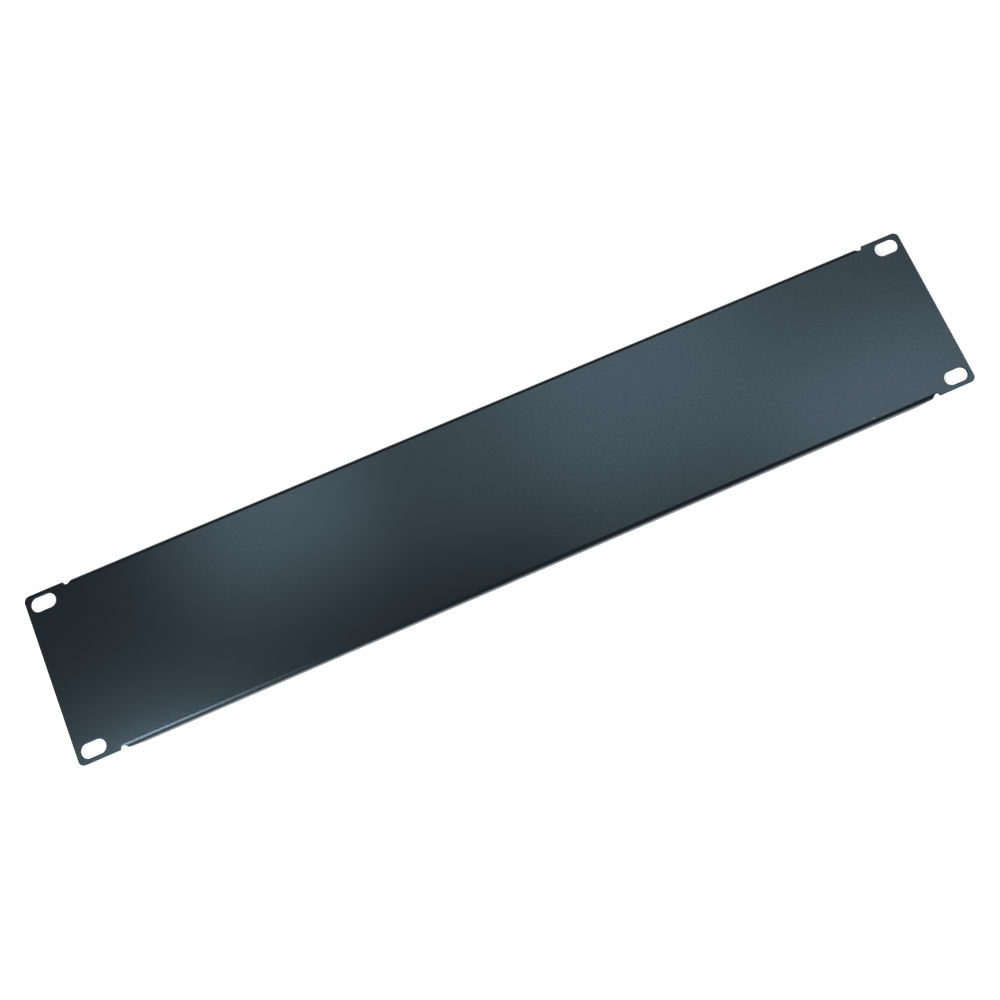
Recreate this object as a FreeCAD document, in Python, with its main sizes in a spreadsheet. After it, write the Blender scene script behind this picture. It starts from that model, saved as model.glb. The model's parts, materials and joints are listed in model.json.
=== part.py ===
"""Two-unit flanged blanking panel for a 19-inch equipment rack.

The panel is cut from one sheet of steel and folded twice. Its face carries two ears with
obround fixing slots, and its long edges turn back into flanges that stiffen it. Small
notches relieve the sheet where each fold ends at an ear.

The panel lies face up: +X runs along its width, +Y up the rack, and +Z out of its face.
The origin is the centre of the four slots, on the back of the sheet, which is the face
that seats on the rack's rails. All sizes are millimetres.
"""
import FreeCAD
import Part
import Sketcher
import os

Vector = FreeCAD.Vector

# Each size of the panel, its value in millimetres and what it measures.
SIZES = [
    ("panel_width", 482.6, "over both ears"),
    ("panel_height", 88.1, "two rack units less the clearance to the next panel"),
    ("sheet_thickness", 1.2, "steel sheet"),
    ("bend_radius", 1.2, "inside radius of both folds"),
    ("ear_length", 24.1, "from an end of the panel to the folds, which pass between the rails"),
    ("flange_depth", 10.0, "from the front face to the free edge of a flange"),
    ("flange_chamfer", 6.0, "cut off each free corner of a flange at 45 degrees"),
    ("ear_radius", 3.0, "outer corners of the ears"),
    ("relief_width", 3.4, "notch between the end of a fold and its ear"),
    ("relief_depth", 1.7, "notch, from the long edge of the ear"),
    ("slot_length", 12.7, "fixing slot, end to end"),
    ("slot_width", 7.1, "fixing slot, across"),
    ("slot_inset_across", 8.75, "from an end of the panel to the slot centres"),
    ("slot_inset_up", 5.95, "from a long edge of the panel to the slot centres"),
]

# Ends of a line or arc, and its centre, as a sketch numbers them.
START, END, CENTRE = 1, 2, 3
# The sketch's own origin.
ORIGIN = (-1, START)


def fill_size_sheet(document):
    """Writes the sizes into a spreadsheet, one row each, with an alias on the value."""
    sheet = document.addObject("Spreadsheet::Sheet", "Sizes")
    for row, (alias, value, meaning) in enumerate(SIZES, start=1):
        sheet.set(f"A{row}", alias)
        sheet.set(f"B{row}", str(value))
        sheet.set(f"C{row}", meaning)
        sheet.setAlias(f"B{row}", alias)
    document.recompute()
    return sheet


def origin_plane(body, role):
    """Finds one of the body's own origin planes."""
    return next(plane for plane in body.Origin.OriginFeatures if plane.Role == role)


def new_sketch(body, name, role):
    """Adds an empty sketch on an origin plane of the body."""
    sketch = body.newObject("Sketcher::SketchObject", name)
    sketch.AttachmentSupport = [(origin_plane(body, role), "")]
    sketch.MapMode = "FlatFace"
    return sketch


def line(sketch, start, end):
    """Adds a line between two points and returns its number."""
    segment = Part.LineSegment(Vector(*start, 0), Vector(*end, 0))
    return sketch.addGeometry(segment, False)


def arc(sketch, centre, radius, first_angle, last_angle):
    """Adds an arc, drawn anticlockwise between two angles in degrees."""
    circle = Part.Circle(Vector(*centre, 0), Vector(0, 0, 1), radius)
    first = FreeCAD.Units.Quantity(first_angle, FreeCAD.Units.Angle).getValueAs("rad")
    last = FreeCAD.Units.Quantity(last_angle, FreeCAD.Units.Angle).getValueAs("rad")
    return sketch.addGeometry(Part.ArcOfCircle(circle, float(first), float(last)), False)


def constrain(sketch, kind, *geometry):
    """Adds a constraint that has no value of its own."""
    sketch.addConstraint(Sketcher.Constraint(kind, *geometry))


def distance(sketch, name, formula, axis, first, second):
    """Ties the distance along X or Y from one point to another to the size sheet."""
    offset = sketch.getPoint(*second) - sketch.getPoint(*first)
    drawn = offset.x if axis == "X" else offset.y
    number = sketch.addConstraint(
        Sketcher.Constraint("Distance" + axis, *first, *second, drawn))
    sketch.renameConstraint(number, name)
    sketch.setExpression("Constraints." + name, formula)


def radius(sketch, name, formula, curve):
    """Ties the radius of an arc to the size sheet."""
    number = sketch.addConstraint(
        Sketcher.Constraint("Radius", curve, sketch.Geometry[curve].Radius))
    sketch.renameConstraint(number, name)
    sketch.setExpression("Constraints." + name, formula)


def rectangle(sketch, low, high):
    """Adds a closed rectangle and returns its bottom, right, top and left sides."""
    corners = [low, (high[0], low[1]), high, (low[0], high[1])]
    sides = [line(sketch, corners[i], corners[(i + 1) % 4]) for i in range(4)]
    for i, side in enumerate(sides):
        constrain(sketch, "Coincident", side, END, sides[(i + 1) % 4], START)
        constrain(sketch, "Vertical" if i % 2 else "Horizontal", side)
    return sides


def cut_through(body, name, sketch):
    """Cuts the sketch through everything on both sides of its plane."""
    cut = body.newObject("PartDesign::Pocket", name)
    cut.Profile = sketch
    cut.SideType = "Symmetric"
    cut.Type = "ThroughAll"
    return cut


def mirror(body, name, feature, *roles):
    """Repeats a feature across one origin plane, or across each of several in turn."""
    mirrors = []
    for role in roles:
        single = body.newObject("PartDesign::Mirrored", f"{name}_{role[:2].lower()}")
        single.MirrorPlane = (origin_plane(body, role), [""])
        mirrors.append(single)
    if len(mirrors) == 1:
        mirrors[0].Originals = [feature]
        body.Tip = mirrors[0]
        return mirrors[0]
    both = body.newObject("PartDesign::MultiTransform", name)
    both.Originals = [feature]
    both.Transformations = mirrors
    body.Tip = both
    return both


def add_face(body, size):
    """The flat face: a rectangle of sheet with its four outer corners rounded."""
    half_width = size["panel_width"] / 2
    half_height = size["panel_height"] / 2
    sketch = new_sketch(body, "face_outline", "XY_Plane")
    bottom, right, top, left = rectangle(
        sketch, (-half_width, -half_height), (half_width, half_height))
    constrain(sketch, "Symmetric", bottom, START, top, START, *ORIGIN)
    distance(sketch, "width", "Sizes.panel_width", "X", (bottom, START), (bottom, END))
    distance(sketch, "height", "Sizes.panel_height", "Y", (right, START), (right, END))

    face = body.newObject("PartDesign::Pad", "face")
    face.Profile = sketch
    face.setExpression("Length", "Sizes.sheet_thickness")
    body.Document.recompute()

    corners = body.newObject("PartDesign::Fillet", "ear_corners")
    corners.Base = (face, upright_edges(face.Shape))
    corners.setExpression("Radius", "Sizes.ear_radius")
    return corners


def upright_edges(shape):
    """Names the edges of a shape that run straight along Z."""
    names = []
    for number, edge in enumerate(shape.Edges, start=1):
        run = edge.Vertexes[-1].Point - edge.Vertexes[0].Point
        if abs(run.z) > abs(run.x) + abs(run.y):
            names.append(f"Edge{number}")
    return names


def clear_folds(body, size):
    """Takes the flat sheet back to the line where each fold starts to turn."""
    half_length = size["panel_width"] / 2 - size["ear_length"]
    edge = size["panel_height"] / 2
    turn = size["bend_radius"] + size["sheet_thickness"]
    sketch = new_sketch(body, "fold_window", "XY_Plane")
    bottom, right, top, left = rectangle(
        sketch, (-half_length, edge - turn), (half_length, edge + size["sheet_thickness"]))
    distance(
        sketch, "left_end", "Sizes.panel_width / 2 - Sizes.ear_length", "X",
        (bottom, START), ORIGIN)
    distance(
        sketch, "right_end", "Sizes.panel_width / 2 - Sizes.ear_length", "X",
        ORIGIN, (bottom, END))
    distance(
        sketch, "fold_line",
        "Sizes.panel_height / 2 - Sizes.bend_radius - Sizes.sheet_thickness", "Y",
        ORIGIN, (bottom, START))
    distance(
        sketch, "past_edge", "Sizes.panel_height / 2 + Sizes.sheet_thickness", "Y",
        ORIGIN, (right, END))
    return mirror(body, "fold_windows", cut_through(body, "fold_window_cut", sketch),
                  "XZ_Plane")


def add_folds(body, size):
    """The folds: a quarter turn of sheet and the flange that runs on from it."""
    sheet = size["sheet_thickness"]
    inner = size["bend_radius"]
    edge = size["panel_height"] / 2
    free_edge = sheet - size["flange_depth"]
    centre = (edge - sheet - inner, -inner)

    sketch = new_sketch(body, "fold_profile", "YZ_Plane")
    outer_turn = arc(sketch, centre, inner + sheet, 0, 90)
    inner_turn = arc(sketch, centre, inner, 0, 90)
    root = line(sketch, (centre[0], sheet), (centre[0], 0))
    outside = line(sketch, (edge, -inner), (edge, free_edge))
    lip = line(sketch, (edge, free_edge), (edge - sheet, free_edge))
    inside = line(sketch, (edge - sheet, free_edge), (edge - sheet, -inner))

    constrain(sketch, "Coincident", outer_turn, CENTRE, inner_turn, CENTRE)
    constrain(sketch, "Coincident", outer_turn, END, root, START)
    constrain(sketch, "Coincident", inner_turn, END, root, END)
    constrain(sketch, "Tangent", outer_turn, START, outside, START)
    constrain(sketch, "Coincident", outside, END, lip, START)
    constrain(sketch, "Coincident", lip, END, inside, START)
    constrain(sketch, "Tangent", inside, END, inner_turn, START)
    constrain(sketch, "Vertical", root)
    constrain(sketch, "Vertical", root, START, outer_turn, CENTRE)
    constrain(sketch, "Vertical", outside)
    constrain(sketch, "Vertical", inside)
    constrain(sketch, "Horizontal", lip)
    radius(sketch, "inside_radius", "Sizes.bend_radius", inner_turn)
    distance(sketch, "sheet", "Sizes.sheet_thickness", "Y", (root, END), (root, START))
    distance(sketch, "face", "Sizes.sheet_thickness", "Y", ORIGIN, (root, START))
    distance(sketch, "edge", "Sizes.panel_height / 2", "X", ORIGIN, (outside, START))
    distance(sketch, "depth", "Sizes.flange_depth", "Y", (outside, END), (root, START))

    fold = body.newObject("PartDesign::Pad", "fold")
    fold.Profile = sketch
    fold.SideType = "Symmetric"
    fold.setExpression("Length", "Sizes.panel_width - 2 * Sizes.ear_length")
    return mirror(body, "folds", fold, "XZ_Plane")


def chamfer_flanges(body, size):
    """Takes the free corners off both flanges, so that they clear the rails' edges."""
    beyond = size["sheet_thickness"]
    end = size["panel_width"] / 2 - size["ear_length"] + beyond
    low = size["sheet_thickness"] - size["flange_depth"] - beyond
    leg = size["flange_chamfer"] + 2 * beyond

    sketch = new_sketch(body, "flange_corner", "XZ_Plane")
    foot = line(sketch, (end - leg, low), (end, low))
    upright = line(sketch, (end, low), (end, low + leg))
    slope = line(sketch, (end, low + leg), (end - leg, low))
    constrain(sketch, "Coincident", foot, END, upright, START)
    constrain(sketch, "Coincident", upright, END, slope, START)
    constrain(sketch, "Coincident", slope, END, foot, START)
    constrain(sketch, "Horizontal", foot)
    constrain(sketch, "Vertical", upright)
    constrain(sketch, "Equal", foot, upright)
    distance(
        sketch, "past_end",
        "Sizes.panel_width / 2 - Sizes.ear_length + Sizes.sheet_thickness", "X",
        ORIGIN, (foot, END))
    distance(sketch, "past_edge", "Sizes.flange_depth", "Y", (foot, END), ORIGIN)
    distance(
        sketch, "leg", "Sizes.flange_chamfer + 2 * Sizes.sheet_thickness", "X",
        (foot, START), (foot, END))
    return mirror(body, "flange_corners", cut_through(body, "flange_corner_cut", sketch),
                  "YZ_Plane")


def cut_reliefs(body, size):
    """The bend reliefs: a round-bottomed notch past each end of each fold."""
    left = size["panel_width"] / 2 - size["ear_length"]
    half_wide = size["relief_width"] / 2
    edge = size["panel_height"] / 2
    centre = (left + half_wide, edge - size["relief_depth"] + half_wide)
    top = edge + size["sheet_thickness"]

    sketch = new_sketch(body, "relief_notch", "XY_Plane")
    bottom = arc(sketch, centre, half_wide, 180, 360)
    ear_side = line(sketch, (left + 2 * half_wide, centre[1]), (left + 2 * half_wide, top))
    mouth = line(sketch, (left + 2 * half_wide, top), (left, top))
    fold_side = line(sketch, (left, top), (left, centre[1]))
    constrain(sketch, "Tangent", bottom, END, ear_side, START)
    constrain(sketch, "Coincident", ear_side, END, mouth, START)
    constrain(sketch, "Coincident", mouth, END, fold_side, START)
    constrain(sketch, "Tangent", fold_side, END, bottom, START)
    constrain(sketch, "Vertical", ear_side)
    constrain(sketch, "Vertical", fold_side)
    constrain(sketch, "Horizontal", mouth)
    distance(
        sketch, "fold_end", "Sizes.panel_width / 2 - Sizes.ear_length", "X",
        ORIGIN, (mouth, END))
    distance(sketch, "width", "Sizes.relief_width", "X", (mouth, END), (mouth, START))
    distance(
        sketch, "round_centre",
        "Sizes.panel_height / 2 - Sizes.relief_depth + Sizes.relief_width / 2", "Y",
        ORIGIN, (bottom, CENTRE))
    distance(
        sketch, "past_edge", "Sizes.panel_height / 2 + Sizes.sheet_thickness", "Y",
        ORIGIN, (mouth, END))
    return mirror(body, "relief_notches", cut_through(body, "relief_notch_cut", sketch),
                  "YZ_Plane", "XZ_Plane")


def cut_slots(body, size):
    """The fixing slots: one obround in the lower left corner, in two rows of two."""
    round_end = size["slot_width"] / 2
    reach = size["slot_length"] / 2 - round_end
    across = size["slot_inset_across"] - size["panel_width"] / 2
    up = size["slot_inset_up"] - size["panel_height"] / 2

    sketch = new_sketch(body, "fixing_slot", "XY_Plane")
    left = arc(sketch, (across - reach, up), round_end, 90, 270)
    lower = line(sketch, (across - reach, up - round_end), (across + reach, up - round_end))
    right = arc(sketch, (across + reach, up), round_end, -90, 90)
    upper = line(sketch, (across + reach, up + round_end), (across - reach, up + round_end))
    constrain(sketch, "Tangent", left, END, lower, START)
    constrain(sketch, "Tangent", lower, END, right, START)
    constrain(sketch, "Tangent", right, END, upper, START)
    constrain(sketch, "Tangent", upper, END, left, START)
    constrain(sketch, "Horizontal", lower)
    constrain(sketch, "Equal", left, right)
    radius(sketch, "half_width", "Sizes.slot_width / 2", left)
    distance(
        sketch, "straight", "Sizes.slot_length - Sizes.slot_width", "X",
        (left, CENTRE), (right, CENTRE))
    distance(
        sketch, "across",
        "(Sizes.panel_width + Sizes.slot_length - Sizes.slot_width) / 2"
        " - Sizes.slot_inset_across", "X", (left, CENTRE), ORIGIN)
    distance(
        sketch, "up", "Sizes.panel_height / 2 - Sizes.slot_inset_up", "Y",
        (left, CENTRE), ORIGIN)

    slot = cut_through(body, "fixing_slot_cut", sketch)
    pattern = body.newObject("PartDesign::LinearPattern", "fixing_slots")
    pattern.Originals = [slot]
    pattern.Direction = (sketch, ["H_Axis"])
    pattern.Occurrences = 2
    pattern.setExpression("Length", "Sizes.panel_width - 2 * Sizes.slot_inset_across")
    pattern.Direction2 = (sketch, ["V_Axis"])
    pattern.Occurrences2 = 2
    pattern.setExpression("Length2", "Sizes.panel_height - 2 * Sizes.slot_inset_up")
    body.Tip = pattern
    return pattern


def check_document(document):
    """Stops if any object failed, any sketch is loose or any cut took nothing away."""
    for item in document.Objects:
        failed = [word for word in item.State if word in ("Invalid", "Error")]
        if failed:
            raise RuntimeError(f"{item.Name}: {failed}")
        if item.TypeId == "Sketcher::SketchObject" and not item.FullyConstrained:
            raise RuntimeError(f"{item.Name} is not fully constrained")
        if item.TypeId == "PartDesign::Pocket":
            if item.Shape.Volume >= item.BaseFeature.Shape.Volume:
                raise RuntimeError(f"{item.Name} takes nothing away")


def write_step(body):
    """Writes the body's one solid to a STEP file named by its label."""
    shape = body.Shape
    if shape.isNull() or not shape.isValid() or len(shape.Solids) != 1:
        raise RuntimeError(f"{body.Label} is not one valid solid")
    os.makedirs("parts", exist_ok=True)
    shape.exportStep(os.path.join("parts", body.Label + ".step"))
    print(body.Label, "volume", round(shape.Volume, 1), "mm3, area", round(shape.Area, 1),
          "mm2")


document = FreeCAD.newDocument("blanking_panel")
fill_size_sheet(document)
sizes = {alias: value for alias, value, meaning in SIZES}

panel = document.addObject("PartDesign::Body", "panel")
panel.Label = "blanking_panel"
panel.Placement = FreeCAD.Placement()
add_face(panel, sizes)
clear_folds(panel, sizes)
add_folds(panel, sizes)
chamfer_flanges(panel, sizes)
cut_reliefs(panel, sizes)
cut_slots(panel, sizes)

document.recompute()
check_document(document)
write_step(panel)
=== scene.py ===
"""Looks of a two-unit flanged rack blanking panel: black powder coat on folded sheet steel.

The panel is one sheet, so it is drawn as its flat pattern and then folded by a formula. It
lies face up on the free edges of its flanges, on a white table under soft studio lamps.
"""
import json
import math

import bpy
import numpy as np
from mathutils import Matrix, Vector
from mathutils.geometry import delaunay_2d_cdt


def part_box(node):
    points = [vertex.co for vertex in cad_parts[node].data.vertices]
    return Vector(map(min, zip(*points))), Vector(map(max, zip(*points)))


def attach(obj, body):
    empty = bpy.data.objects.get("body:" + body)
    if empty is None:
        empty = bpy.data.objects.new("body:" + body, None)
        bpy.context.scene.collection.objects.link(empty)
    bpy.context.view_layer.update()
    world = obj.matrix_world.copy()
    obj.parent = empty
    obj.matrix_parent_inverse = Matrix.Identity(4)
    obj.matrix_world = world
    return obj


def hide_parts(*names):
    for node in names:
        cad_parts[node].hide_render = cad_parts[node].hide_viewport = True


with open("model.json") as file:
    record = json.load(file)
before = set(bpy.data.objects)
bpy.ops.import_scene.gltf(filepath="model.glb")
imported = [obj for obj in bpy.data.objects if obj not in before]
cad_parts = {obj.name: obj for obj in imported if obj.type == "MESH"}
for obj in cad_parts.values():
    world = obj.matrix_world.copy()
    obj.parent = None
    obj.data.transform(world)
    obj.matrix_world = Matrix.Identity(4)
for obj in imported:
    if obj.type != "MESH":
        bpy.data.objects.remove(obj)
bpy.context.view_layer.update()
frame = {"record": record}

bl_info = {
    "name": "Rack blanking panel",
    "version": (1, 0, 0),
    "blender": (4, 5, 0),
    "location": "3D View > Sidebar > Rack panel",
    "description": "Builds a folded sheet-steel blanking panel and a white table to show it on",
    "category": "Object",
}

MM = 0.001
NODE = "blanking_panel"

LOW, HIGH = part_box(NODE)
SLOTS = next(m for m in frame["record"]["mounts"] if m["name"] == "rack_slots")["dims"]


# ---------------------------------------------------------------- sizes, colours and stage

class PanelSizes(bpy.types.PropertyGroup):
    """Sizes of the folded sheet that the frame's box and slots don't give."""
    sheet: bpy.props.FloatProperty(
        name="Sheet", description="Thickness of the steel", default=1.2 * MM, unit="LENGTH")
    bend: bpy.props.FloatProperty(
        name="Bend", description="Inside radius of the folds", default=1.2 * MM, unit="LENGTH")
    ear: bpy.props.FloatProperty(
        name="Ear", description="From an end of the panel to the folds", default=24.1 * MM,
        unit="LENGTH")
    ear_corner: bpy.props.FloatProperty(
        name="Ear corner", description="Radius of the ears' outer corners", default=3.0 * MM,
        unit="LENGTH")
    notch_width: bpy.props.FloatProperty(
        name="Notch width", description="Bend relief, along the edge", default=3.4 * MM,
        unit="LENGTH")
    notch_depth: bpy.props.FloatProperty(
        name="Notch depth", description="Bend relief, in from the edge", default=1.7 * MM,
        unit="LENGTH")
    chamfer: bpy.props.FloatProperty(
        name="Flange chamfer", description="Taken off each free corner of a flange",
        default=6.0 * MM, unit="LENGTH")
    punched_corner: bpy.props.FloatProperty(
        name="Punched corner", description="Radius that punch and coat leave on a sharp corner",
        default=0.3 * MM, unit="LENGTH")
    coated_edge: bpy.props.FloatProperty(
        name="Coated edge", description="Radius of the coat over the sheet's cut edges",
        default=0.25 * MM, unit="LENGTH")


class CoatFinish(bpy.types.PropertyGroup):
    """Colour and texture of the powder coat."""
    colour: bpy.props.StringProperty(
        name="Colour", description="Powder coat, as an sRGB hex value", default="#14181B")
    sheen: bpy.props.StringProperty(
        name="Sheen", description="Tint of the gloss, as an sRGB hex value", default="#C8EAFF")
    rubbed: bpy.props.StringProperty(
        name="Rubbed", description="Coat where it is rubbed, as an sRGB hex value",
        default="#55606A")
    roughness: bpy.props.FloatProperty(
        name="Roughness", description="Spread of the gloss", default=0.22, min=0, max=1)
    grain_size: bpy.props.FloatProperty(
        name="Grain", description="Width of one grain of the powder", default=1.2 * MM,
        unit="LENGTH")
    peel_size: bpy.props.FloatProperty(
        name="Orange peel", description="Width of one dimple of the orange peel",
        default=1.4 * MM, unit="LENGTH")


class StageSetup(bpy.types.PropertyGroup):
    """The camera over the panel, measured from the middle of its face."""
    camera_place: bpy.props.FloatVectorProperty(
        name="Camera", description="Place of the lens over the middle of the face",
        default=(-34.7 * MM, -88.5 * MM, 475.8 * MM), subtype="TRANSLATION", unit="LENGTH")
    camera_aim: bpy.props.FloatVectorProperty(
        name="Aim", description="Point of the face in the middle of the view",
        default=(-5.6 * MM, -4.5 * MM, 0.0), subtype="TRANSLATION", unit="LENGTH")
    camera_turn: bpy.props.FloatProperty(
        name="Turn", description="How far the view's top turns from up the rack to the right",
        default=math.radians(23.36), subtype="ANGLE", unit="ROTATION")
    lens: bpy.props.FloatProperty(
        name="Lens", description="Focal length on a 36 mm sensor", default=34.88,
        unit="CAMERA")


# Index of refraction of the polyester coat, and how deep its two textures go. Both textures
# are drawn wider than a real coat's, which would be too fine to show from this far.
COAT_IOR = 1.6
PEEL_DEPTH = 0.011 * MM
GRAIN_DEPTH = 0.009 * MM
# The grain's noise keeps mostly within the first range, and sets the gloss within the second.
GRAIN_RANGE = (0.3, 0.7)
GLOSS_RANGE = (0.44, 0.56)

# Wear: middle on the face and half size across and up. A mark keeps its full strength over
# the inner share of its half size, and reaches a little into the face so that it stays on it.
NICK_PLACE = (184.2 * MM, -41.1 * MM)
NICK_HALF_SIZE = (1.4 * MM, 0.6 * MM)
PIT_PLACE = (89.2 * MM, -5.2 * MM)
PIT_HALF_SIZE = (1.2 * MM, 0.9 * MM)
PIT_DULLING = 0.15
MARK_CORE = 0.2
MARK_DEPTH = 0.5 * MM

# The table's colour, how far it reaches to each side, and how bright it glows for the camera
# near the panel and far from it, between the two distances, so that it ends in plain white with
# no horizon. The gloss sees it glow at a level of its own.
TABLE_COLOUR = "#E8E8E8"
TABLE_REACH = 4.0
GLOW_NEAR = 0.68
GLOW_FAR = 1.0
GLOW_GROWS = (0.3, 0.9)
GLOW_IN_GLOSS = 0.15
# The room lights the panel at this level, and the camera sees it as white.
ROOM_LIGHT = 0.12
ROOM_SEEN = 1.0

# Width of the camera's sensor, in millimetres as the camera takes it.
SENSOR_WIDTH = 36

# Name, place and size in metres, and radiance of each lamp. A radiance of 1 is white. The strips
# light the lower fold, and the near one the face's lower left corner too. Each panel puts a soft
# glow on its own stretch of the face. Lamps that overlap hang at different heights, so that none
# hides another.
LAMP_COLOUR = (0.93, 0.97, 1.0)
# Watts that give one square metre of area lamp a radiance of 1.
LAMP_WATTS = 4
LAMPS = (
    ("strip_left", (-1.40, -1.65, 1.50), (1.25, 2.50), 4.5),
    ("strip_left_near", (-0.75, -0.40, 1.45), (0.30, 0.85), 9.0),
    ("panel_right", (0.95, -0.05, 1.40), (0.60, 0.60), 1.4),
    ("panel_back_left", (-0.35, 0.50, 1.50), (0.40, 0.45), 2.0),
    ("panel_back", (0.30, 0.50, 1.45), (0.75, 0.60), 0.95),
    ("panel_back_right", (0.70, 0.45, 1.50), (1.00, 0.85), 0.85),
)


# ------------------------------------------------------------------------------ small tools

def linear(hex_colour):
    """Turns an sRGB hex value into the linear colour that a shader socket takes."""
    srgb = np.array([int(hex_colour[i:i + 2], 16) for i in (1, 3, 5)]) / 255
    rgb = np.where(srgb <= 0.04045, srgb / 12.92, ((srgb + 0.055) / 1.055) ** 2.4)
    return (*rgb.tolist(), 1.0)


def add_node(tree, kind, settings=None, inputs=None, links=None):
    """Adds a shader node, sets its properties and input values, and links its inputs.

    links maps an input's name or number to the (node, output) that feeds it.
    """
    node = tree.nodes.new(kind)
    for name, value in (settings or {}).items():
        setattr(node, name, value)
    for name, value in (inputs or {}).items():
        node.inputs[name].default_value = value
    for name, (source, output) in (links or {}).items():
        tree.links.new(source.outputs[output], node.inputs[name])
    return node


def empty_tree(owner):
    """Clears the node tree of a material or world and returns it."""
    owner.use_nodes = True
    owner.node_tree.nodes.clear()
    return owner.node_tree


def mesh_object(name, points, faces, normals=None):
    """Makes a smooth-shaded mesh object from arrays of points, faces and point normals."""
    mesh = bpy.data.meshes.new(name)
    mesh.from_pydata(points.tolist(), [], faces)
    mesh.shade_smooth()
    if normals is not None:
        mesh.normals_split_custom_set_from_vertices(normals.tolist())
    mesh.validate()
    thing = bpy.data.objects.new(name, mesh)
    bpy.context.scene.collection.objects.link(thing)
    return thing


# ------------------------------------------------------------------ the sheet's flat pattern

# Parts of each rounded corner, sides of the mesh in flat and in bent sheet, and the distance
# under which two points of an outline count as one.
ARC_STEPS = 12
EDGE_STEP = 6 * MM
FINE_STEP = 0.35 * MM
TOUCHING = 0.001 * MM
# The sheet is finely divided from this far before the end of a fold.
NOTCH_MARGIN = 2 * MM
# Points of the quarter round on each edge of the coated rim.
RIM_POINTS = 4
# In millimetres, for the triangulation.
SAME_POINT = 1e-6


def rounded_loop(corners, radii):
    """A closed outline: a polygon, anticlockwise, whose corners are rounded.

    At a corner where the outline turns by an angle, the round starts the radius times the
    tangent of half that angle before it. Its points lie at the radius from its centre along
    the normal, which swings evenly from the first side's to the second's. At an inward
    corner the centre lies outside, so the radius counts the other way. Where one round runs
    straight into the next, the point that they share is kept once. Returns the points and
    their outward normals.
    """
    corners, radii = np.array(corners, float), np.array(radii, float)
    side = np.roll(corners, -1, 0) - corners
    out = side / np.linalg.norm(side, axis=1)[:, None]
    into = np.roll(out, 1, 0)
    turn = np.arctan2(into[:, 0] * out[:, 1] - into[:, 1] * out[:, 0], (into * out).sum(1))
    start = corners - into * (radii * np.tan(np.abs(turn) / 2))[:, None]
    first = np.stack([into[:, 1], -into[:, 0]], 1)
    signed = radii * np.sign(turn)
    centre = start - first * signed[:, None]
    swing = turn[:, None] * np.linspace(0, 1, ARC_STEPS + 1)
    cos, sin = np.cos(swing), np.sin(swing)
    normals = np.stack([first[:, :1] * cos - first[:, 1:] * sin,
                        first[:, :1] * sin + first[:, 1:] * cos], 2)
    points = (centre[:, None] + normals * signed[:, None, None]).reshape(-1, 2)
    apart = np.linalg.norm(np.roll(points, -1, 0) - points, axis=1) > TOUCHING
    return points[apart], normals.reshape(-1, 2)[apart]


def divide_runs(points, normals, step):
    """Divides each straight run of a closed outline evenly, so that no side passes step."""
    ahead, normals_ahead = np.roll(points, -1, 0), np.roll(normals, -1, 0)
    parts = np.maximum(1, np.ceil(np.linalg.norm(ahead - points, axis=1) / step)).astype(int)
    which = np.repeat(np.arange(len(points)), parts)
    first = np.concatenate([[0], np.cumsum(parts)[:-1]])
    share = ((np.arange(len(which)) - first[which]) / parts[which])[:, None]
    return (points[which] * (1 - share) + ahead[which] * share,
            normals[which] * (1 - share) + normals_ahead[which] * share)


class Fold:
    """The sheet's section across a fold, as a curve of the distance along the flat sheet.

    The turn angle grows from nothing to a right angle over the developed length of the
    bend. The section's height out and drop are the running sums of the angle's cosine and
    sine, so length along the middle of the sheet is kept.
    """
    SAMPLES = 400

    def __init__(self, sizes, half_height, depth):
        middle = sizes.bend + sizes.sheet / 2
        self.length = middle * math.pi / 2
        share = np.linspace(0, 1, self.SAMPLES + 1)
        angle = share * math.pi / 2
        step = self.length / self.SAMPLES
        between = (angle[1:] + angle[:-1]) / 2
        out = np.concatenate([[0], np.cumsum(np.cos(between) * step)])
        drop = np.concatenate([[0], np.cumsum(np.sin(between) * step)])
        self.start = half_height - sizes.sheet / 2 - out[-1]
        self.end = self.start + self.length + depth - sizes.sheet / 2 - drop[-1]
        self.along = self.start + share * self.length
        self.out, self.drop, self.angle = self.start + out, drop, angle
        self.sheet = sizes.sheet
        self.fold_end = half_width_of_folds(sizes)
        self.fade = sizes.notch_width

    def place(self, flat, height):
        """Folds points of the flat pattern that stand at a height off the sheet's middle.

        Past the end of the fold the angle fades to nothing over the width of the notch,
        where the sheet twists from the fold into the flat ear. Returns the points, the
        normal of the sheet there and its direction up the pattern.
        """
        side, distance = np.sign(flat[:, 1]), np.abs(flat[:, 1])
        angle = np.interp(distance, self.along, self.angle)
        past = np.maximum(distance - self.along[-1], 0)
        out = np.interp(distance, self.along, self.out)
        out = np.where(distance < self.start, distance, out)
        drop = np.interp(distance, self.along, self.drop) + past
        fade = np.clip(1 - (np.abs(flat[:, 0]) - self.fold_end) / self.fade, 0, 1)
        fade = fade * fade * (3 - 2 * fade)
        angle = angle * fade
        out = distance * (1 - fade) + out * fade
        drop = drop * fade
        normal = np.stack([0 * side, side * np.sin(angle), np.cos(angle)], 1)
        up = np.stack([0 * side, np.cos(angle), -side * np.sin(angle)], 1)
        middle = np.stack([flat[:, 0], side * out, self.sheet / 2 - drop], 1)
        return middle + normal * height, normal, up


def half_width_of_folds(sizes):
    """From the middle of the panel to the end of its folds."""
    return HIGH.x - sizes.ear


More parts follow.
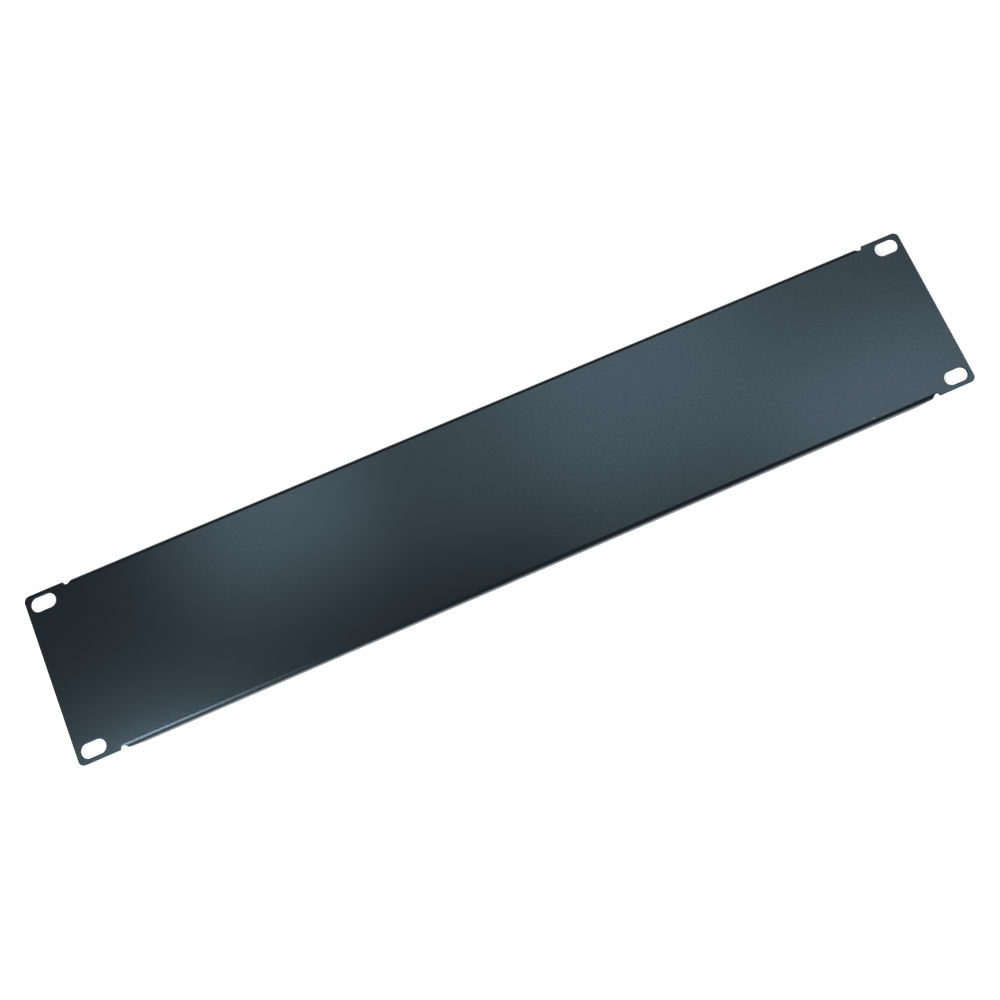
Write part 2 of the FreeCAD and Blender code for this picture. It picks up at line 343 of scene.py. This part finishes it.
def outline_corners(sizes, fold):
    """Corners and radii of the flat pattern's outline, from its right-hand upper quarter."""
    end, height = half_width_of_folds(sizes), HIGH.y
    notch_floor = height - sizes.notch_depth
    round_half = sizes.notch_width / 2
    round_to_ear = min(round_half, sizes.notch_depth - sizes.punched_corner)
    quarter = [
        ((HIGH.x, height), sizes.ear_corner),
        ((end + sizes.notch_width, height), sizes.punched_corner),
        ((end + sizes.notch_width, notch_floor), round_to_ear),
        ((end, notch_floor), round_half),
        ((end, fold.end - sizes.chamfer), sizes.punched_corner),
        ((end - sizes.chamfer, fold.end), sizes.punched_corner),
    ]
    corners = np.array([corner for corner, radius in quarter])
    radii = np.array([radius for corner, radius in quarter])
    turns = [(1, 1, 1), (-1, 1, -1), (-1, -1, 1), (1, -1, -1)]
    return (np.concatenate([(corners * (x, y))[::order] for x, y, order in turns]),
            np.concatenate([radii[::order] for x, y, order in turns]))


def slot_corners():
    """Corners and radii of the four fixing slots: rectangles with fully round ends."""
    half = np.array([SLOTS["slot_length_mm"] / 2, SLOTS["hole_r_mm"]]) * MM
    pitch = np.array([SLOTS["spacing_x_mm"], SLOTS["spacing_y_mm"]]) * MM / 2
    rectangle = np.array([(-1, -1), (1, -1), (1, 1), (-1, 1)])
    for side in rectangle:
        yield side * pitch + rectangle * half, [half[1]] * 4


def inside(points, loops):
    """Whether each point lies inside an odd number of closed loops, by counting crossings."""
    crossings = np.zeros(len(points), int)
    for loop in loops:
        a, b = loop, np.roll(loop, -1, 0)
        spans = (a[:, 1] > points[:, None, 1]) != (b[:, 1] > points[:, None, 1])
        rise = np.where(b[:, 1] == a[:, 1], 1, b[:, 1] - a[:, 1])
        at = a[:, 0] + (points[:, None, 1] - a[:, 1]) * (b[:, 0] - a[:, 0]) / rise
        crossings += (spans & (points[:, None, 0] < at)).sum(1)
    return crossings % 2 == 1


def even(first, last, step):
    """Values from first to last in even steps no longer than step."""
    return np.linspace(first, last, max(1, math.ceil((last - first) / step)) + 1)


def fill_pattern(loops, fold):
    """Triangles over the flat pattern between its loops, with points on a grid.

    The grid is fine across the folds, along lines that no triangle crosses, and around the
    notches, where the sheet twists. Returns all points, the loops' own first, and the
    triangles.
    """
    edge = np.concatenate(loops)
    starts = np.cumsum([0] + [len(loop) for loop in loops])
    ring_edges = [np.stack([np.arange(n), np.roll(np.arange(n), -1)], 1) + start
                  for start, n in zip(starts, map(len, loops))]
    near_notch = (fold.fold_end - NOTCH_MARGIN, fold.fold_end + fold.fade)
    half = np.concatenate([even(0, near_notch[0], EDGE_STEP), even(*near_notch, FINE_STEP)[1:],
                           even(near_notch[1], HIGH.x, EDGE_STEP)[1:]])
    columns = np.concatenate([-half[:0:-1], half])
    bend = even(fold.start, fold.along[-1], FINE_STEP)
    levels = np.concatenate([even(0, fold.start, EDGE_STEP)[:-1], bend])
    levels = np.concatenate([-levels[:0:-1], levels])
    grid = np.stack(np.meshgrid(columns, levels), 2)
    near = np.min([np.linalg.norm(grid[..., None, :] - loop, axis=3).min(2)
                   for loop in loops], 0)
    kept = inside(grid.reshape(-1, 2), loops).reshape(near.shape) & (near > FINE_STEP / 2)
    number = np.where(kept, np.cumsum(kept).reshape(kept.shape) - 1 + len(edge), -1)
    bent = np.ix_(np.abs(levels) >= fold.start, np.abs(columns) <= near_notch[0])
    lines = number[bent]
    row_edges = np.stack([lines[:, :-1].ravel(), lines[:, 1:].ravel()], 1)
    points = np.concatenate([edge, grid[kept]])
    edges = np.concatenate([*ring_edges, row_edges])
    # Worked in millimetres, with no given faces and the whole area filled. Points closer than
    # SAME_POINT are one, and each point tells which given points it came from.
    flat = [Vector(point) for point in (points / MM).tolist()]
    found = delaunay_2d_cdt(flat, edges.tolist(), [], 0, SAME_POINT, True)
    origin = np.array([sources[0] for sources in found[3]])
    triangles = origin[np.array([face for face in found[2] if len(face) == 3])]
    return points, triangles[inside(points[triangles].mean(1), loops)]


def refine_ends(outline, fold):
    """Divides an outline again, finely, where it crosses a fold."""
    points, normals = outline
    ahead = np.roll(points, -1, 0)
    middle = np.abs(points[:, 1] + ahead[:, 1]) / 2
    crossing = (middle > fold.start) & (np.abs(points[:, 0] - ahead[:, 0]) < FINE_STEP / 10)
    length = np.linalg.norm(ahead - points, axis=1)
    parts = np.where(crossing, np.maximum(1, np.ceil(length / FINE_STEP)), 1).astype(int)
    which = np.repeat(np.arange(len(points)), parts)
    first = np.concatenate([[0], np.cumsum(parts)[:-1]])
    share = ((np.arange(len(which)) - first[which]) / parts[which])[:, None]
    return (points[which] * (1 - share) + ahead[which] * share,
            normals[which] * (1 - share) + np.roll(normals, -1, 0)[which] * share)


def rim_profile(sizes):
    """Section of the sheet's coated edge: a quarter round, a flat and a quarter round.

    Gives, from the front of the sheet to its back, how far each line lies in from the
    outline, its height off the middle of the sheet and the angle of its normal.
    """
    quarter = np.linspace(math.pi / 2, 0, RIM_POINTS)
    angle = np.concatenate([quarter, -quarter[::-1]])
    inset = sizes.coated_edge * (1 - np.cos(angle))
    half_flat = sizes.sheet / 2 - sizes.coated_edge
    flat = np.repeat([half_flat, -half_flat], RIM_POINTS)
    return inset, flat + sizes.coated_edge * np.sin(angle), angle


def folded_sheet(sizes):
    """The whole panel as one closed skin: front, back and the edges that join them."""
    fold = Fold(sizes, HIGH.y, HIGH.z - LOW.z)
    outlines = [rounded_loop(*outline_corners(sizes, fold))]
    outlines += [rounded_loop(*slot) for slot in slot_corners()]
    outlines = [divide_runs(*outline, EDGE_STEP) for outline in outlines]
    outlines = [refine_ends(outline, fold) for outline in outlines]
    outer = [1] + [-1] * (len(outlines) - 1)
    outlines = [(points, normals * side) for (points, normals), side in zip(outlines, outer)]
    insets, heights, angles = rim_profile(sizes)

    skin_loops = [points - normals * insets[0] for points, normals in outlines]
    flat, triangles = fill_pattern(skin_loops, fold)
    front, front_normal, up = fold.place(flat, heights[0])
    back, back_normal, up = fold.place(flat, heights[-1])
    points, normals = [front, back], [front_normal, -back_normal]
    faces = triangles.tolist() + (triangles[:, ::-1] + len(front)).tolist()

    count, start = 2 * len(front), 0
    for (loop, outward), side in zip(outlines, outer):
        n = len(loop)
        rings = [np.arange(n) + start]
        for inset, height, angle in zip(insets[1:-1], heights[1:-1], angles[1:-1]):
            place, normal, up = fold.place(loop - outward * inset, height)
            across = outward[:, :1] * (1, 0, 0) + outward[:, 1:] * up
            points.append(place)
            normals.append(across * math.cos(angle) + normal * math.sin(angle))
            rings.append(np.arange(n) + count)
            count += n
        rings.append(np.arange(n) + start + len(front))
        for upper, lower in zip(rings[:-1], rings[1:]):
            quads = np.stack([upper, lower, np.roll(lower, -1), np.roll(upper, -1)], 1)
            faces += quads[:, ::side].tolist()
        start += n
    normals = np.concatenate(normals)
    normals /= np.linalg.norm(normals, axis=1)[:, None]
    return np.concatenate(points), faces, normals


# -------------------------------------------------------------------------------- materials

def mark(tree, where, place, half_size):
    """A small oval mark on the face: the output goes from 1 at its middle to 0 at its rim."""
    from_middle = add_node(
        tree, "ShaderNodeVectorMath", {"operation": "SUBTRACT"},
        {1: (place[0], place[1], HIGH.z)}, {0: (where, "Object")})
    in_halves = add_node(
        tree, "ShaderNodeVectorMath", {"operation": "DIVIDE"},
        {1: (half_size[0], half_size[1], MARK_DEPTH)}, {0: (from_middle, "Vector")})
    distance = add_node(
        tree, "ShaderNodeVectorMath", {"operation": "LENGTH"}, links={0: (in_halves, "Vector")})
    return add_node(
        tree, "ShaderNodeMapRange", {"interpolation_type": "SMOOTHSTEP"},
        {"From Min": MARK_CORE, "From Max": 1.0, "To Min": 1.0, "To Max": 0.0},
        {"Value": (distance, "Value")})


def black_powder_coat(finish):
    """Black polyester powder coat: baked on electrostatically, semi-matt, dielectric.

    The powder melts into a skin with a faint orange peel and a fine grain, so the eye sees
    soft, cool reflections that are a little broken up. Wear is slight: one nick rubbed light
    beside the lower fold and one shallow pit, which reflects less.
    """
    material = bpy.data.materials.new("black_powder_coat")
    tree = empty_tree(material)
    where = add_node(tree, "ShaderNodeTexCoord")
    peel = add_node(
        tree, "ShaderNodeTexNoise", inputs={"Scale": 1 / finish.peel_size, "Detail": 2.0},
        links={"Vector": (where, "Object")})
    grain = add_node(
        tree, "ShaderNodeTexNoise", inputs={"Scale": 1 / finish.grain_size, "Detail": 1.0},
        links={"Vector": (where, "Object")})
    dimples = add_node(
        tree, "ShaderNodeBump", inputs={"Strength": 1.0, "Distance": PEEL_DEPTH},
        links={"Height": (peel, "Fac")})
    bump = add_node(
        tree, "ShaderNodeBump", inputs={"Strength": 1.0, "Distance": GRAIN_DEPTH},
        links={"Height": (grain, "Fac"), "Normal": (dimples, "Normal")})
    gloss = add_node(
        tree, "ShaderNodeMapRange",
        inputs={"From Min": GRAIN_RANGE[0], "From Max": GRAIN_RANGE[1],
                "To Min": GLOSS_RANGE[0], "To Max": GLOSS_RANGE[1]},
        links={"Value": (grain, "Fac")})
    pit = mark(tree, where, PIT_PLACE, PIT_HALF_SIZE)
    dulled = add_node(
        tree, "ShaderNodeMath", {"operation": "MULTIPLY_ADD"}, {1: -PIT_DULLING},
        {0: (pit, "Result"), 2: (gloss, "Result")})
    nick = mark(tree, where, NICK_PLACE, NICK_HALF_SIZE)
    colour = add_node(
        tree, "ShaderNodeMix", {"data_type": "RGBA"},
        {"A": linear(finish.colour), "B": linear(finish.rubbed)}, {"Factor": (nick, "Result")})
    shader = add_node(
        tree, "ShaderNodeBsdfPrincipled",
        inputs={"Roughness": finish.roughness, "IOR": COAT_IOR,
                "Specular Tint": linear(finish.sheen)},
        links={"Base Color": (colour, "Result"), "Normal": (bump, "Normal"),
               "Specular IOR Level": (dulled, "Value")})
    add_node(tree, "ShaderNodeOutputMaterial", links={"Surface": (shader, "BSDF")})
    return material


def white_table():
    """Matt white table top that the camera sees as plain white.

    Its diffuse white takes the panel's shadow. Its glow is seen by the camera, and in part by
    glossy rays, so that the coat reflects a little white and no diffuse light is added.
    """
    material = bpy.data.materials.new("white_table")
    tree = empty_tree(material)
    path = add_node(tree, "ShaderNodeLightPath")
    for_gloss = add_node(
        tree, "ShaderNodeMath", {"operation": "MULTIPLY"}, {1: GLOW_IN_GLOSS},
        {0: (path, "Is Glossy Ray")})
    where = add_node(tree, "ShaderNodeTexCoord")
    reach = add_node(
        tree, "ShaderNodeVectorMath", {"operation": "LENGTH"}, links={0: (where, "Object")})
    for_camera = add_node(
        tree, "ShaderNodeMapRange",
        inputs={"From Min": GLOW_GROWS[0], "From Max": GLOW_GROWS[1],
                "To Min": GLOW_NEAR, "To Max": GLOW_FAR},
        links={"Value": (reach, "Value")})
    seen = add_node(
        tree, "ShaderNodeMath", {"operation": "MULTIPLY_ADD"},
        links={0: (path, "Is Camera Ray"), 1: (for_camera, "Result"), 2: (for_gloss, "Value")})
    matt = add_node(tree, "ShaderNodeBsdfDiffuse", inputs={"Color": linear(TABLE_COLOUR)})
    glow = add_node(
        tree, "ShaderNodeEmission", inputs={"Color": (1, 1, 1, 1)},
        links={"Strength": (seen, "Value")})
    both = add_node(tree, "ShaderNodeAddShader", links={0: (matt, "BSDF"), 1: (glow, "Emission")})
    add_node(tree, "ShaderNodeOutputMaterial", links={"Surface": (both, "Shader")})
    return material


def white_room():
    """Even room light, with white behind the table for the camera."""
    world = bpy.data.worlds.new("white_room")
    tree = empty_tree(world)
    path = add_node(tree, "ShaderNodeLightPath")
    level = add_node(
        tree, "ShaderNodeMapRange", inputs={"To Min": ROOM_LIGHT, "To Max": ROOM_SEEN},
        links={"Value": (path, "Is Camera Ray")})
    room = add_node(
        tree, "ShaderNodeBackground", inputs={"Color": (1, 1, 1, 1)},
        links={"Strength": (level, "Result")})
    add_node(tree, "ShaderNodeOutputWorld", links={"Surface": (room, "Background")})
    return world


# -------------------------------------------------------------------------------- operators

class RACKPANEL_OT_build_panel(bpy.types.Operator):
    """Fold the blanking panel out of one coated sheet and dress it"""
    bl_idname = "rackpanel.build_panel"
    bl_label = "Build blanking panel"

    def execute(self, context):
        panel = mesh_object("coated_panel", *folded_sheet(context.scene.panel_sizes))
        panel.data.materials.append(black_powder_coat(context.scene.coat_finish))
        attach(panel, "root")
        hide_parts(NODE)
        return {"FINISHED"}


class RACKPANEL_OT_set_stage(bpy.types.Operator):
    """Lay the white table, hang the lamps and place the camera"""
    bl_idname = "rackpanel.set_stage"
    bl_label = "Set stage"

    def execute(self, context):
        scene = context.scene
        scene.world = white_room()
        scene.view_settings.view_transform = "Standard"
        self.lay_table()
        self.hang_lamps()
        self.place_camera(scene, scene.stage_setup)
        return {"FINISHED"}

    def lay_table(self):
        """A square table top at the height that the panel rests on."""
        corners = np.array([(-TABLE_REACH, -TABLE_REACH, LOW.z), (TABLE_REACH, -TABLE_REACH, LOW.z),
                            (TABLE_REACH, TABLE_REACH, LOW.z), (-TABLE_REACH, TABLE_REACH, LOW.z)])
        table = mesh_object("table", corners, [(0, 1, 2, 3)])
        table.data.materials.append(white_table())

    def hang_lamps(self):
        """Hangs each rectangular lamp of LAMPS at its place, facing straight down."""
        for name, place, size, radiance in LAMPS:
            lamp = bpy.data.lights.new(name, "AREA")
            lamp.shape = "RECTANGLE"
            lamp.size = size[0]
            lamp.size_y = size[1]
            lamp.color = LAMP_COLOUR
            lamp.energy = LAMP_WATTS * radiance * size[0] * size[1]
            hung = bpy.data.objects.new(name, lamp)
            hung.location = place
            bpy.context.scene.collection.objects.link(hung)

    def place_camera(self, scene, stage):
        """Looks from its place at the aim, with the view's top turned to the right."""
        face = Vector((0, 0, HIGH.z))
        place = face + Vector(stage.camera_place)
        aim = face + Vector(stage.camera_aim)
        back = (place - aim).normalized()
        top = Vector((math.sin(stage.camera_turn), math.cos(stage.camera_turn), 0))
        right = top.cross(back).normalized()
        axes = Matrix((right, back.cross(right), back)).transposed()
        camera = bpy.data.cameras.new("camera")
        camera.sensor_width = SENSOR_WIDTH
        camera.lens = stage.lens
        camera.clip_start = 10 * MM
        seat = bpy.data.objects.new("camera", camera)
        seat.matrix_world = Matrix.Translation(place) @ axes.to_4x4()
        scene.collection.objects.link(seat)
        scene.camera = seat


class RACKPANEL_PT_sidebar(bpy.types.Panel):
    """Lists the operators and the sizes they use"""
    bl_idname = "RACKPANEL_PT_sidebar"
    bl_label = "Rack panel"
    bl_space_type = "VIEW_3D"
    bl_region_type = "UI"
    bl_category = "Rack panel"

    def draw(self, context):
        scene = context.scene
        self.layout.operator(RACKPANEL_OT_build_panel.bl_idname)
        self.layout.operator(RACKPANEL_OT_set_stage.bl_idname)
        for group in (scene.panel_sizes, scene.coat_finish, scene.stage_setup):
            box = self.layout.box()
            for name in group.__annotations__:
                box.prop(group, name)


CLASSES = (PanelSizes, CoatFinish, StageSetup, RACKPANEL_OT_build_panel,
           RACKPANEL_OT_set_stage, RACKPANEL_PT_sidebar)


def register():
    for cls in CLASSES:
        bpy.utils.register_class(cls)
    bpy.types.Scene.panel_sizes = bpy.props.PointerProperty(type=PanelSizes)
    bpy.types.Scene.coat_finish = bpy.props.PointerProperty(type=CoatFinish)
    bpy.types.Scene.stage_setup = bpy.props.PointerProperty(type=StageSetup)


def unregister():
    del bpy.types.Scene.stage_setup
    del bpy.types.Scene.coat_finish
    del bpy.types.Scene.panel_sizes
    for cls in reversed(CLASSES):
        bpy.utils.unregister_class(cls)


def main():
    register()
    bpy.ops.rackpanel.build_panel()
    bpy.ops.rackpanel.set_stage()


if __name__ == "__main__":
    main()
